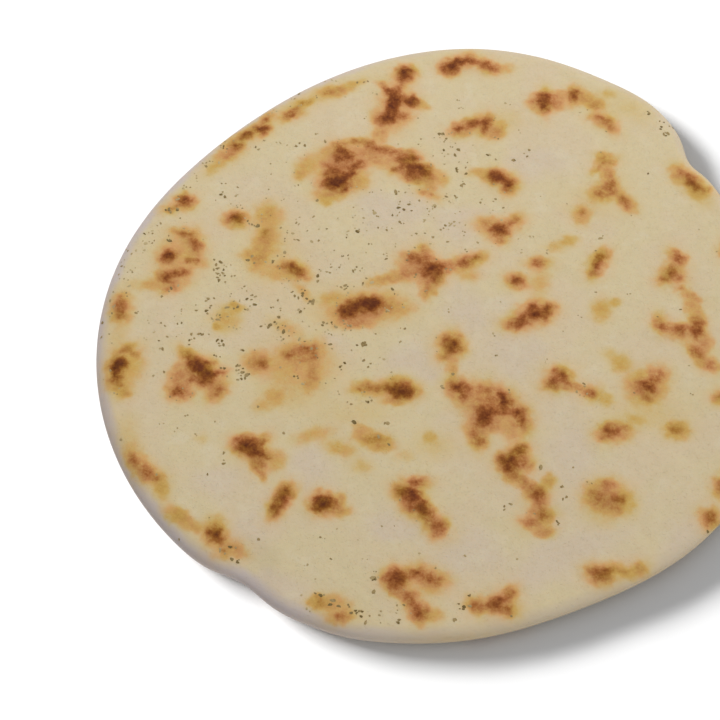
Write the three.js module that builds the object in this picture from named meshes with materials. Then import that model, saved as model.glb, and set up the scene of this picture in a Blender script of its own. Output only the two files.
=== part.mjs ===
// A piadina: a round griddled flatbread of soft wheat dough, about 24 cm across and 7 mm thick.
// It is one solid piece. The dough is rolled by hand, so its outline, rim and thickness are
// uneven, and where it blistered on the griddle low brown bumps stand up on its top.
// Millimetres. +Z is up, +X to the right, and -Y is the side nearest the viewer.
// Angles on the disc are in degrees, anticlockwise from +X.

import * as THREE from 'three';

// ---- Driving dimensions ------------------------------------------------------------------

const DISC_RADIUS = 118.5;    // of the plain circle that the outline departs from
const DOUGH_THICKNESS = 6.6;  // underside to top, in the middle of the disc
const RIM_ROUNDING = 4.6;     // how far in from the edge the rim curves over
const BLISTER_RISE = 0.11;    // height of a blister for each millimetre of its width
const DOUGH_COLOUR = 0xd2be96;

// Shares of the disc's radius.
const REST_SHARE = 0.72;    // out to here the underside lies flat on the table
const UNEVEN_START = 0.6;   // from here outwards the thickness is uneven
const PINCH_START = 0.9;    // from here outwards the pinch's groove deepens

// Fineness of the mesh.
const TOP_RINGS = 32;       // ring k of the top carries 6 k points
const RIM_STEPS = 6;        // from the top of the rim round to its underside
const UNDERSIDE_RINGS = [   // share of the radius, and how many points
  [0.91, 96], [0.82, 96], [REST_SHARE, 96], [0.4, 24], [0.12, 3],
];

// ---- Uneven forms of the hand-rolled disc ------------------------------------------------
// Each form is a soft swell along the rim: where it is, how much it adds, and its half width.

const OUTLINE_FORMS = [
  { at: 70, add: 6.2, width: 29 },     // full shoulder at the far right
  { at: 49, add: 3, width: 9 },        // its corner, above the bay
  { at: 36, add: -3, width: 3.8 },     // notch just past the corner
  { at: 26, add: -3.8, width: 17 },    // shallow bay at the right
  { at: 134, add: -7.6, width: 33 },   // long flattened side at the far left
  { at: 217, add: 4, width: 42 },      // full shoulder at the near left
  { at: 236, add: -3.2, width: 5 },    // pinch
  { at: 254, add: 1, width: 8 },       // swell beside it
  { at: 291, add: -3.4, width: 18 },   // flattened side at the near right
];

const THICKNESS_FORMS = [
  { at: 212, add: 1.4, width: 50 },   // plump at the near left
  { at: 312, add: -2.2, width: 48 },  // rolled thin at the near right
];

const PINCH_FORMS = [
  { at: 236, add: -1.6, width: 4 },   // groove where the rim is pinched
];

const RIM_LIFT_FORMS = [
  { at: 318, add: 3.2, width: 52 },   // the near right curls up off the table
];

// Soft waves left by the rolling pin: wavelengths along X and Y, height and phase.
const ROLLING_WAVES = [
  { alongX: 95, alongY: 140, height: 0.16, phase: 0.6 },
  { alongX: -70, alongY: 62, height: 0.12, phase: 2.1 },
  { alongX: 41, alongY: 53, height: 0.07, phase: 4.0 },
];

// Blisters on the top: centre, length, width, and how far the length is turned from +X.
const BLISTERS = [
  // along the far edge
  [12, 112, 20, 7, -8], [-11.5, 107, 10, 6, 80], [-17, 93, 19, 7, 80], [-68, 79, 16, 7, 45],
  [14, 82.5, 16, 7, 15], [40.5, 94, 10, 7, 80], [63, 84.5, 9, 6, -35], [93, 57, 14, 7, -50],
  // left
  [-88.5, 31, 11, 6, -50], [-95.5, 25, 7, 7, 0], [-94, 16, 10, 6, 20], [-112, 2.5, 10, 6, 85],
  [-110, -21, 15, 7, 80], [-83, -21.5, 15, 8, -40], [-73, 41, 8, 6, 10], [-51, 19, 9, 6, -40],
  // middle
  [-35, 69, 11, 8, -45], [-36.5, 57.5, 13, 9, 10], [-8, 62.5, 17, 9, -35], [23.5, 58, 11, 7, -25],
  [-5, 21, 16, 9, -35], [-28, 4.5, 16, 8, 15], [32, 0.5, 16, 8, 25], [56, 22, 12, 6, 62],
  [82.5, 20, 14, 7, 62], [82, -5.5, 18, 7, 0], [22, 37, 11, 7, 0], [3.5, -12, 9, 6, -68],
  // near side
  [-14, -29, 12, 6, -10], [12, -36, 15, 9, -40], [40, -25, 10, 8, 40], [69, -28, 11, 8, 20],
  [22.5, -55.5, 11, 8, 45], [54, -69, 12, 10, 0], [-9, -73, 21, 7, -50], [-65, -51.5, 11, 7, -20],
  [-54.5, -71.5, 11, 6, 70], [-40.5, -72, 8, 8, 0], [-100, -59.5, 11, 6, -45],
  [-17, -99, 9, 8, 0], [49, -96.5, 9, 8, -10], [16.5, -106, 10, 7, 45],
];

// ---- Shape of the disc -------------------------------------------------------------------

const radians = THREE.MathUtils.degToRad;

// Sum of the swells at one angle: each is a bell curve of the angle between.
function swell(forms, angle) {
  let sum = 0;
  for (const form of forms) {
    const between = THREE.MathUtils.euclideanModulo(angle - form.at + 180, 360) - 180;
    sum += form.add * Math.exp(-((between / form.width) ** 2));
  }
  return sum;
}

function edgeRadius(angle) {
  return DISC_RADIUS + swell(OUTLINE_FORMS, angle);
}

// Radius where the rim's rounding starts.
function shoulderRadius(angle) {
  return edgeRadius(angle) - RIM_ROUNDING;
}

// Height of the underside: flat in the middle, curling up faster and faster to a lifted rim.
function undersideHeight(angle, share) {
  const curl = Math.max(share - REST_SHARE, 0) / (1 - REST_SHARE);
  return swell(RIM_LIFT_FORMS, angle) * curl ** 2;
}

// Thickness of the dough: even in the middle, uneven towards the rim, and least in the pinch.
function thickness(angle, share) {
  const outerPart = THREE.MathUtils.smoothstep(share, UNEVEN_START, 1);
  const lastPart = THREE.MathUtils.smoothstep(share, PINCH_START, 1);
  const uneven = swell(THICKNESS_FORMS, angle) * outerPart;
  return DOUGH_THICKNESS + uneven + swell(PINCH_FORMS, angle) * lastPart;
}

// Relief of the top: the rolling pin's waves, and a bell-shaped bump for each blister.
function relief(x, y) {
  let height = 0;
  for (const wave of ROLLING_WAVES) {
    const turns = x / wave.alongX + y / wave.alongY;
    height += wave.height * Math.sin(2 * Math.PI * turns + wave.phase);
  }
  for (const [centreX, centreY, length, width, turn] of BLISTERS) {
    const cos = Math.cos(radians(turn));
    const sin = Math.sin(radians(turn));
    const along = ((x - centreX) * cos + (y - centreY) * sin) / (length / 2);
    const across = ((y - centreY) * cos - (x - centreX) * sin) / (width / 2);
    height += BLISTER_RISE * width * Math.exp(-(along ** 2) - across ** 2);
  }
  return height;
}

// ---- Rings of points, from the middle of the top, round the rim, to the underside --------

// A closed ring of evenly spaced points; place(angle) gives each point's radius and height.
function ring(count, place) {
  const points = [];
  for (let i = 0; i < count; i += 1) {
    const angle = (360 * i) / count;
    const { radius, height } = place(angle);
    const x = radius * Math.cos(radians(angle));
    const y = radius * Math.sin(radians(angle));
    points.push(new THREE.Vector3(x, y, height(x, y)));
  }
  return points;
}

function topRing(k) {
  const share = k / TOP_RINGS;
  return ring(6 * k, (angle) => ({
    radius: share * shoulderRadius(angle),
    height: (x, y) => undersideHeight(angle, share) + thickness(angle, share) + relief(x, y),
  }));
}

// The rim's section is half an ellipse: step 0 is at its top, the last step underneath.
function rimRing(step) {
  const turn = radians(90 - (180 * step) / RIM_STEPS);
  return ring(6 * TOP_RINGS, (angle) => ({
    radius: shoulderRadius(angle) + RIM_ROUNDING * Math.cos(turn),
    height: (x, y) => {
      const halfThickness = thickness(angle, 1) / 2;
      const raised = relief(x, y) * Math.max(Math.sin(turn), 0);
      return undersideHeight(angle, 1) + halfThickness * (1 + Math.sin(turn)) + raised;
    },
  }));
}

function undersideRing([share, count]) {
  return ring(count, (angle) => ({
    radius: share * shoulderRadius(angle),
    height: () => undersideHeight(angle, share),
  }));
}

function breadRings() {
  const rings = [];
  for (let k = 1; k <= TOP_RINGS; k += 1) {
    rings.push(topRing(k));
  }
  for (let step = 1; step <= RIM_STEPS; step += 1) {
    rings.push(rimRing(step));
  }
  for (const underside of UNDERSIDE_RINGS) {
    rings.push(undersideRing(underside));
  }
  return rings;
}

// ---- Closed surface over the rings -------------------------------------------------------

// Triangles between two rings that may differ in how many points they carry: at each turn the
// ring whose next point comes first steps on.
function stitch(previous, next) {
  const triangles = [];
  let i = 0;
  let j = 0;
  while (i < previous.count || j < next.count) {
    const stepNext = (j + 1) * previous.count <= (i + 1) * next.count;
    const a = previous.start + (i % previous.count);
    const b = next.start + (j % next.count);
    if (stepNext) {
      j += 1;
      triangles.push(b, next.start + (j % next.count), a);
    } else {
      i += 1;
      triangles.push(b, previous.start + (i % previous.count), a);
    }
  }
  return triangles;
}

// A fan over a ring's own points closes the first ring upwards or the last one downwards.
function cap({ start, count }, facesUp) {
  const triangles = [];
  for (let i = 1; i < count - 1; i += 1) {
    const fan = [start, start + i, start + i + 1];
    triangles.push(...(facesUp ? fan : fan.reverse()));
  }
  return triangles;
}

function closedSurface(rings) {
  const spans = [];
  let start = 0;
  for (const points of rings) {
    spans.push({ start, count: points.length });
    start += points.length;
  }
  const triangles = cap(spans[0], true);
  for (let k = 1; k < spans.length; k += 1) {
    triangles.push(...stitch(spans[k - 1], spans[k]));
  }
  triangles.push(...cap(spans[spans.length - 1], false));

  const geometry = new THREE.BufferGeometry();
  geometry.setFromPoints(rings.flat());
  geometry.setIndex(triangles);
  geometry.computeVertexNormals();
  return geometry;
}

// ---- The bread ---------------------------------------------------------------------------

function doughMaterial() {
  return new THREE.MeshStandardMaterial({ color: DOUGH_COLOUR, roughness: 0.85, metalness: 0 });
}

// The origin is under the middle of the bread's bounding box, at the height of its underside.
function piadina() {
  const geometry = closedSurface(breadRings());
  geometry.computeBoundingBox();
  const middle = geometry.boundingBox.getCenter(new THREE.Vector3());
  geometry.translate(-middle.x, -middle.y, 0);
  const bread = new THREE.Mesh(geometry, doughMaterial());
  bread.name = 'piadina';
  return bread;
}

const model = new THREE.Group();
model.add(piadina());

export default model;
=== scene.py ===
import math

import bpy
import numpy as np
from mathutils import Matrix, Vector


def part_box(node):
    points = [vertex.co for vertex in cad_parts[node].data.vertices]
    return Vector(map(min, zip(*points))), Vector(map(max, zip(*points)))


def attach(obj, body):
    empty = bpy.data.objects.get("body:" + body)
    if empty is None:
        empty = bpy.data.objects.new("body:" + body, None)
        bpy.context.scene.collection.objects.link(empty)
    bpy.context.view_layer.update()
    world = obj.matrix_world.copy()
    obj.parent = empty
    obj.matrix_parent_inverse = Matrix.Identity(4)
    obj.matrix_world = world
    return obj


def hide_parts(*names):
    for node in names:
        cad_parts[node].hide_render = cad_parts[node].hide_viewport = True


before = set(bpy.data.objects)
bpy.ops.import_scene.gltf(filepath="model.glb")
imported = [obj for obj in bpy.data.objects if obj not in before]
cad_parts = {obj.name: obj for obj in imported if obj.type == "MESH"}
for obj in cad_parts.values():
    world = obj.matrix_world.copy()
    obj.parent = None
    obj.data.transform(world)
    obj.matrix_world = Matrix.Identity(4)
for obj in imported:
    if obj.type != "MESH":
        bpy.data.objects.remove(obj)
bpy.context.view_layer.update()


# ==== The dough ===========================================================================
# One disc of soft wheat dough, rolled out by hand with a pin, so its outline, its rim and its
# thickness are uneven. The shape is worked out in millimetres, x to the right and y away from
# the viewer, with angles in degrees anticlockwise from +x, and is centred on the frame's disc.

MM = 0.001

DISC_RADIUS = 118.5    # of the plain circle that the outline departs from
DOUGH_THICKNESS = 6.6
RIM_ROUNDING = 4.6     # how far in from the edge the rim curves over
BLISTER_RISE = 0.11    # height of a blister for each millimetre of its width

REST_SHARE = 0.72      # of the radius: out to here the underside lies flat
UNEVEN_START = 0.6     # from here outwards the thickness is uneven
PINCH_START = 0.9      # from here outwards the pinch's groove deepens

# Soft swells along the rim: where, how much is added, and the half width.
OUTLINE_FORMS = [
    (70, 6.2, 29),     # full shoulder at the far right
    (49, 3, 9),        # its corner, above the bay
    (36, -3, 3.8),     # notch just past the corner
    (26, -3.8, 17),    # shallow bay at the right
    (134, -7.6, 33),   # long flattened side at the far left
    (217, 4, 42),      # full shoulder at the near left
    (236, -3.2, 5),    # pinch
    (254, 1, 8),       # swell beside it
    (291, -3.4, 18),   # flattened side at the near right
]
THICKNESS_FORMS = [(212, 1.4, 50), (312, -2.2, 48)]
PINCH_FORMS = [(236, -1.6, 4)]
RIM_LIFT_FORMS = [(318, 3.2, 52)]

# Waves left by the rolling pin: wavelengths along x and y, height and phase.
ROLLING_WAVES = [(95, 140, 0.16, 0.6), (-70, 62, 0.12, 2.1), (41, 53, 0.07, 4.0)]

# Blisters on the top: centre, length, width, and how far the length is turned from +x.
BLISTERS = [
    # along the far edge
    (12, 112, 20, 7, -8), (-11.5, 107, 10, 6, 80), (-17, 93, 19, 7, 80), (-68, 79, 16, 7, 45),
    (14, 82.5, 16, 7, 15), (40.5, 94, 10, 7, 80), (63, 84.5, 9, 6, -35), (93, 57, 14, 7, -50),
    # left
    (-88.5, 31, 11, 6, -50), (-95.5, 25, 7, 7, 0), (-94, 16, 10, 6, 20), (-112, 2.5, 10, 6, 85),
    (-110, -21, 15, 7, 80), (-83, -21.5, 15, 8, -40), (-73, 41, 8, 6, 10), (-51, 19, 9, 6, -40),
    # middle
    (-35, 69, 11, 8, -45), (-36.5, 57.5, 13, 9, 10), (-8, 62.5, 17, 9, -35), (23.5, 58, 11, 7, -25),
    (-5, 21, 16, 9, -35), (-28, 4.5, 16, 8, 15), (32, 0.5, 16, 8, 25), (56, 22, 12, 6, 62),
    (82.5, 20, 14, 7, 62), (82, -5.5, 18, 7, 0), (22, 37, 11, 7, 0), (3.5, -12, 9, 6, -68),
    # near side
    (-14, -29, 12, 6, -10), (12, -36, 15, 9, -40), (40, -25, 10, 8, 40), (69, -28, 11, 8, 20),
    (22.5, -55.5, 11, 8, 45), (54, -69, 12, 10, 0), (-9, -73, 21, 7, -50), (-65, -51.5, 11, 7, -20),
    (-54.5, -71.5, 11, 6, 70), (-40.5, -72, 8, 8, 0), (-100, -59.5, 11, 6, -45),
    (-17, -99, 9, 8, 0), (49, -96.5, 9, 8, -10), (16.5, -106, 10, 7, 45),
]


def swell(forms, angle):
    """Sum of the swells: each adds its height times exp(-(angle between / half width)^2)."""
    total = np.zeros_like(angle)
    for at, add, width in forms:
        between = (angle - at + 180) % 360 - 180
        total += add * np.exp(-((between / width) ** 2))
    return total


def shoulder_radius(angle):
    """Where the rim's rounding starts: the outline's radius less the rounding."""
    return DISC_RADIUS + swell(OUTLINE_FORMS, angle) - RIM_ROUNDING


def bearing(x, y):
    """The angle at which a place lies, seen from the middle."""
    return np.degrees(np.arctan2(y, x))


def around_middle(angle, radius):
    """x and y of a place: its radius times the cosine and the sine of its angle."""
    return radius * np.cos(np.radians(angle)), radius * np.sin(np.radians(angle))


def smooth_step(value, low, high):
    """0 below low and 1 above high, and 3t^2 - 2t^3 of the share t of the way in between."""
    t = np.clip((value - low) / (high - low), 0, 1)
    return t * t * (3 - 2 * t)


def underside_height(angle, share):
    """Flat out to the resting share, then the rim's lift times the square of the way to the rim."""
    curl = np.maximum(share - REST_SHARE, 0) / (1 - REST_SHARE)
    return swell(RIM_LIFT_FORMS, angle) * curl ** 2


def thickness(angle, share):
    """The dough's thickness, with its uneven forms faded in towards the rim."""
    uneven = swell(THICKNESS_FORMS, angle) * smooth_step(share, UNEVEN_START, 1)
    pinched = swell(PINCH_FORMS, angle) * smooth_step(share, PINCH_START, 1)
    return DOUGH_THICKNESS + uneven + pinched


def oval_distance(x, y, oval):
    """Distance from an oval's centre, in shares of its half length and half width."""
    centre_x, centre_y, length, width, turn = oval
    cos = math.cos(math.radians(turn))
    sin = math.sin(math.radians(turn))
    along = ((x - centre_x) * cos + (y - centre_y) * sin) / (length / 2)
    across = ((y - centre_y) * cos - (x - centre_x) * sin) / (width / 2)
    return np.hypot(along, across)


def rolled_relief(x, y):
    """The pin's sine waves, and for each blister its rise times exp(-distance^2)."""
    height = np.zeros_like(x)
    for along_x, along_y, rise, phase in ROLLING_WAVES:
        height += rise * np.sin(2 * np.pi * (x / along_x + y / along_y) + phase)
    for blister in BLISTERS:
        height += BLISTER_RISE * blister[3] * np.exp(-(oval_distance(x, y, blister) ** 2))
    return height


def ripples(x, y, size, seed):
    """Seeded unevenness of about -1 to 1: 28 plane waves in every direction are added up, each
    with a random phase and a wavelength of 0.7 to 1.6 times the size."""
    waves = 28
    draw = np.random.default_rng(seed)
    heading = draw.uniform(0, 2 * np.pi, waves)
    rate = 2 * np.pi / (size * draw.uniform(0.7, 1.6, waves))
    phase = draw.uniform(0, 2 * np.pi, waves)
    total = np.zeros_like(x)
    for k in range(waves):
        total += np.sin(rate[k] * (x * np.cos(heading[k]) + y * np.sin(heading[k])) + phase[k])
    return total / np.sqrt(2 * waves)


# ==== The griddle's browning ==============================================================
# Where the dough blistered it pressed on the hot griddle and browned, in small lobed spots
# with a golden halo. A level of 0 is plain dough, 0.35 golden, 0.7 brown and 1 nearly burnt.

# Browned spots: centre, length, width, turn and level.
TOP_SPOTS = [
    # along the far edge
    (6.2, 110.8, 6.4, 4.8, 25, 0.88), (8.4, 113.2, 5, 2.8, 14, 0.96), (12.8, 114.4, 3.8, 3.4, 0, 0.68),
    (19, 112, 3.4, 3.2, 0, 0.76), (21.8, 109.7, 4, 2.4, -12, 0.58), (-11.2, 108.6, 4.4, 3.8, 0, 1.08),
    (-12, 106.2, 4, 3.6, 0, 0.95), (-17.2, 99.4, 5.4, 2.4, -45, 0.86), (-15.9, 94.2, 8, 4.6, 84, 1.05),
    (-16.5, 89.5, 5, 4.2, 85, 0.92), (-18.8, 86, 6.2, 5, 0, 0.95), (-12.6, 87.4, 4.4, 3.4, 0, 0.52),
    (-9.8, 94.8, 5, 3.6, -20, 1.08), (-54.4, 88, 4.2, 2.2, 20, 0.74), (-52.6, 90.4, 2.4, 1.6, 40, 0.48),
    (-65.2, 81, 4.2, 3.4, 25, 0.96), (-70.6, 78.4, 4.4, 2.8, 30, 0.84), (-63.5, 85.8, 3.6, 1.6, 50, 0.62),
    (-74.4, 73, 3.2, 2.6, 50, 0.85), (-76.4, 75, 2.4, 1.6, 40, 0.6), (-76.6, 69.5, 4.6, 3.4, 20, 0.4),
    (-91.8, 48.4, 4.2, 4, 60, 1.0), (-95.4, 46, 2.8, 1.6, 20, 0.55), (-98, 44.6, 2, 1.4, 0, 0.35),
    (-41, 98.4, 1.8, 1.4, 60, 0.5), (-49.4, 93.8, 3.6, 1.4, 15, 0.42), (8.4, 80.8, 5, 3.4, 10, 0.76),
    (13.6, 84, 4, 3.2, 0, 0.82), (18.2, 83.6, 6.6, 3.8, 80, 0.76), (40.6, 94, 8.6, 4.8, 84, 0.84),
    (51.8, 97, 5.4, 3.4, 80, 0.8), (60, 87, 3.4, 2.4, 0, 0.5), (62.8, 85.2, 4, 3, -30, 0.64),
    (65, 82.2, 3.4, 2.2, -60, 0.5), (88.4, 62, 3.6, 2.8, -40, 0.55), (91.8, 58.2, 4.6, 3, -45, 0.74),
    (93, 55.2, 5.4, 3.2, -40, 0.78), (97.4, 53.6, 2.4, 1.6, 0, 0.5),
    # upper middle
    (-35.5, 71, 4.6, 3.6, -30, 0.8), (-33.6, 68.8, 4.6, 4, 0, 0.86), (-36.6, 67.6, 3.6, 2.4, -60, 0.8),
    (-29.8, 64.8, 4.6, 2.8, 20, 0.85), (-31.6, 61.4, 6, 3, 68, 0.8), (-37.4, 56.6, 9, 5, 6, 1.06),
    (-34.2, 59.4, 4, 3.2, 40, 0.95), (-39.2, 62.4, 5, 2, -52, 0.9), (-36.8, 60.8, 3.2, 2.6, -50, 0.82),
    (-40.6, 60.6, 3, 2, 0, 0.8), (-34, 53.8, 3.6, 2, 30, 0.78), (-25.4, 74.2, 2, 1.6, 0, 0.66),
    (-9.4, 68, 4, 3.6, 0, 0.82), (-12.8, 66.8, 5, 3, -30, 0.8), (-10.5, 63.2, 6, 4.4, -15, 0.9),
    (-5.8, 62.6, 6, 4.2, -25, 0.95), (-4.2, 59.8, 4, 3.2, -50, 0.68), (-15.4, 62.3, 1.8, 1.6, 0, 0.75),
    (-9.6, 59.6, 5, 3, -35, 0.85), (-5.4, 52.4, 1.8, 1.2, 0, 0.46), (-2.6, 51.6, 2, 1.2, -20, 0.54),
    (20.9, 59.6, 5.6, 4.4, -15, 0.99), (23.4, 58.2, 3.6, 3.2, 0, 0.9), (25.6, 56, 5, 3.8, 75, 0.88),
    (60.8, 67, 3.4, 2.2, -60, 0.45), (63.4, 66.2, 3, 2, 20, 0.45), (62.6, 55.8, 3.6, 2.6, 80, 0.74),
    (58.6, 64, 5, 2.6, 50, 0.36), (59.2, 52, 5, 3.4, 20, 0.48), (63.4, 52.6, 2.6, 2, 0, 0.45),
    (66.8, 48.6, 4.6, 2.4, -62, 0.7), (51.3, 44, 2.4, 1.8, 0, 0.62),
    # left
    (-73.4, 41.2, 5, 4, 10, 0.88), (-71, 39.8, 2, 1.8, 0, 0.7), (-93.6, 34.8, 3.4, 1.4, -10, 0.4),
    (-90.2, 34, 3.2, 2.2, 0, 0.74), (-87.2, 29.4, 6, 3.4, -75, 0.68), (-96.2, 24.4, 4.8, 4.4, 60, 0.94),
    (-89, 23.2, 2, 1.3, -20, 0.62), (-86.4, 22.6, 2.2, 1.3, -20, 0.66), (-96.9, 15.4, 4.4, 3.2, -40, 0.9),
    (-93.6, 17.2, 4, 2.4, 30, 0.82), (-90.8, 17.8, 3, 2.2, 10, 0.54), (-95, 10.8, 2.8, 1.6, 30, 0.55),
    (-112, 5, 4, 2.8, 85, 0.66), (-111.6, 1, 4.6, 3.2, 90, 0.74), (-108.8, -14, 4, 2, 30, 0.55),
    (-106.2, -15.4, 3, 2, -50, 0.5), (-110.8, -20, 4.8, 4.4, 60, 1.12), (-111.4, -23.6, 5, 3, 90, 0.95),
    (-110.6, -27.4, 3, 2.6, 0, 0.62), (-108.6, -31, 3, 2.4, 0, 0.44), (-86.8, -17.6, 4.6, 2.4, -50, 0.76),
    (-84, -20.6, 6.4, 4.6, -50, 1.0), (-80.6, -23.8, 5.6, 5, -30, 1.0), (-80.8, -19.2, 2.4, 1.8, 0, 0.8),
    (-77.4, -23.2, 3.4, 2.2, 15, 0.94), (-81.6, -26.4, 4, 2.6, -25, 0.88),
    (-85.6, -25.2, 4.4, 2.2, 75, 0.66), (-77, -30.6, 4, 2.6, 50, 0.6), (-89.6, -30.6, 4.6, 3.4, -25, 0.8),
    (-62.2, -18.9, 3.4, 2.8, 0, 0.7), (-52.6, 20.4, 4.4, 3, -30, 0.82), (-50, 18, 4.4, 3, -40, 0.8),
    (-55.8, 20.6, 2.4, 1.4, 0, 0.5), (-47.4, -13, 2.6, 2, 0, 0.78), (-52.4, -15.8, 3.6, 2, -30, 0.62),
    (-44.3, -14.2, 4.4, 1.8, 80, 0.62),
    # middle
    (17.6, 38.6, 4.6, 2.4, -35, 0.52), (21.4, 36.2, 5.6, 4.4, 0, 0.88), (25.4, 38.8, 5, 2.2, 25, 0.56),
    (21, 31.6, 2.4, 1.8, 0, 0.5), (27.6, 41, 2, 1.6, 60, 0.5), (-8.8, 23.8, 6.2, 3.4, -10, 0.7),
    (-5.6, 26.4, 4.4, 2.6, -75, 0.48), (-1.4, 15.6, 4.2, 2.6, 60, 0.74), (-1.8, 19.2, 6, 4.6, -25, 0.95),
    (-4.6, 17.6, 4.6, 3.8, 0, 0.82), (-5.4, 21.8, 5, 4, 0, 0.68), (8.4, 22.2, 4.6, 3.4, 10, 0.66),
    (12.4, 24, 4, 2.6, 20, 0.6), (-33, 1.6, 5, 4.6, 0, 1.04), (-31, 5, 4, 2.8, 20, 0.84),
    (-30, 3.4, 4, 3.6, 0, 0.85), (-26.4, 5, 8, 4.8, 10, 1.04), (-22.8, 5.2, 4.2, 3.8, 0, 0.94),
    (-25, 3, 5, 3.4, 0, 0.95), (-18.6, 4.4, 3, 2, 0, 0.45), (34.5, 22, 4.2, 3, 0, 0.65),
    (26.6, 14.4, 4.2, 3.2, -25, 0.87), (31.2, 3, 4.6, 3.2, 60, 0.95), (33, 0.4, 4.6, 3.8, 0, 0.95),
    (36.4, 2.4, 4.4, 3.6, 25, 0.85), (27.6, -2, 6, 3.6, 22, 0.88), (24.2, -4, 3.4, 2.4, 0, 0.7),
    (3.2, -12, 6.4, 4.2, 70, 0.9), (0.8, -9.8, 3.6, 2.8, 60, 0.64), (0.4, -16.6, 2, 1.8, 0, 0.55),
    (57, 24.4, 4, 3, 60, 0.74), (55.4, 21.4, 4.4, 3, 62, 0.88), (54, 18.4, 3, 2.4, 60, 0.46),
    (59, 26.8, 2.2, 1.4, 20, 0.3), (84, 24, 4.2, 2.8, -60, 0.78), (82, 20, 2.8, 2.4, 0, 0.5),
    (81.4, 17.4, 4, 3.6, 0, 0.68), (78.6, 15.2, 3, 2.2, 10, 0.6), (83.2, 15.4, 3, 2.2, 0, 0.5),
    (84, 11.5, 1.6, 1.3, 0, 0.4), (87.4, 8.4, 4.4, 1.6, -30, 0.38), (75.8, -3.6, 4.6, 3, -70, 0.66),
    (82, -6.1, 3.6, 3.4, 0, 0.75), (88, -4.6, 7.4, 4.4, 80, 0.74), (87.4, -14.6, 6, 3.2, -60, 0.62),
    (91.2, -19.4, 3.6, 2.4, -20, 0.6), (-14.4, -29.4, 8.2, 5.4, -8, 0.97),
    (-20.2, -28.8, 4.4, 2.6, 0, 0.66), (-25.4, -28.6, 4.6, 2, 0, 0.48), (-28.6, -29.2, 2, 1.6, 0, 0.55),
    (4.2, -28.6, 5.2, 4, -48, 0.88), (7.4, -28, 3.6, 2.6, -30, 0.68), (6.4, -31.2, 3.6, 2.8, -60, 0.72),
    (13.6, -29.6, 7, 3.6, -5, 0.46), (16, -33.2, 4.6, 3.2, 0, 0.5), (20.2, -33.2, 6, 2.8, -68, 1.05),
    (19.6, -36.2, 4, 2.8, -45, 0.86), (13.8, -38.2, 6.4, 5, 10, 0.9), (12.4, -41, 5, 4, 30, 0.9),
    (17.2, -38.2, 3, 2.6, 0, 0.6), (24.4, -38.2, 3.6, 3.2, 0, 0.9), (25.8, -41.4, 4.6, 3.4, -70, 0.74),
    (11.2, -48.4, 3.6, 3, 80, 0.78), (9.4, -45.4, 4.4, 3, -60, 0.52), (39.4, -23.4, 4.2, 3.6, 0, 0.8),
    (37, -26.8, 4.6, 3.4, 20, 0.7), (40.8, -25.6, 3.6, 3, -60, 0.72), (49.4, -30.4, 3, 2.6, 0, 0.6),
    (73.2, -23.6, 4, 3, 60, 0.62), (66, -27, 3.2, 2.6, 0, 0.66), (69, -28.4, 4.4, 3.6, 0, 0.85),
    (71, -26, 3.2, 2.6, 0, 0.66), (68.6, -32.4, 2.6, 2.2, 0, 0.5),
    # near side
    (20.6, -57, 6, 5.4, -20, 0.95), (24.2, -52.8, 4.6, 3.8, 60, 0.86), (25.6, -57, 3.6, 2.6, -30, 0.7),
    (29.4, -68, 4, 3.2, 10, 0.78), (30.4, -75.6, 4.8, 3.8, 0, 0.62), (26.8, -78, 3.4, 2.6, 0, 0.58),
    (-10, -64.1, 4, 2.1, 0, 0.84), (-14.8, -67.4, 3.4, 2.8, -40, 0.78),
    (-11.4, -69.2, 5.8, 4.4, -50, 1.02), (-12.8, -72, 4, 2.8, -65, 0.72), (-8, -74, 7.4, 4.4, -55, 0.9),
    (-3.6, -80, 5.2, 4.4, -50, 0.7), (55.2, -44.8, 5, 3.8, 15, 0.78), (53, -47, 3, 2.4, 0, 0.5),
    (60, -43.6, 2.6, 1.4, 10, 0.42), (77.5, -44, 3.2, 2.6, 0, 0.62), (52.6, -65, 3.6, 2.8, 10, 0.52),
    (48, -68, 3, 3, 0, 0.46), (50, -70, 5, 5, 0, 0.4), (55.6, -70, 3.6, 3, 0, 0.82),
    (55, -73.4, 3, 2.4, 0, 0.5), (84.8, -77.2, 4.4, 3.8, 60, 0.68), (90.6, -66, 5, 4, 60, 0.66),
    (94, -32, 5, 4, 0, 0.5), (48.4, -97, 5.6, 4.4, 0, 0.74), (46, -95.4, 3, 2.4, 0, 0.5),
    (51.8, -95.4, 3.6, 2.2, 15, 0.58), (61, -94.8, 2.4, 2, 0, 0.5), (-16.9, -98.2, 7, 5.8, 0, 0.86),
    (-10.8, -95.8, 2.4, 2, 0, 0.8), (-6.8, -97.6, 4.4, 2.6, -25, 0.7), (-3.6, -99, 2.6, 1.8, 0, 0.6),
    (-12.4, -105.4, 3.6, 3, -60, 0.78), (-9.8, -109.4, 4.4, 3.8, -50, 0.82),
    (8, -107.2, 4.4, 3.8, -10, 0.52), (14.6, -106.6, 5, 3.6, 20, 0.85), (17.4, -108.8, 3.4, 2.4, 0, 0.75),
    (18.4, -103.8, 4, 3.2, 60, 0.65), (-34.6, -111, 3.6, 1.6, 5, 0.55),
    (-66.6, -50.2, 6.2, 4.6, -5, 1.06), (-63.6, -52.2, 5, 3.6, -25, 0.97), (-66, -53, 4, 2.4, -30, 0.8),
    (-61, -54.2, 3.6, 2.4, -10, 0.92), (-61.6, -49.2, 3, 1.8, 40, 0.7), (-62.4, -58, 4.4, 3, -50, 0.5),
    (-53.5, -69.2, 6.4, 4.2, 64, 0.97), (-55.6, -73.4, 5, 2.8, 60, 0.83),
    (-40.6, -71.7, 6.8, 5.6, -10, 1.0), (-103, -56.4, 4.6, 2, -55, 0.68),
    (-98.8, -61, 5.4, 3.4, -50, 0.58), (-95.4, -63, 3, 1.8, 10, 0.52), (-75.4, -82.6, 3.8, 3.6, 0, 1.02),
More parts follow.
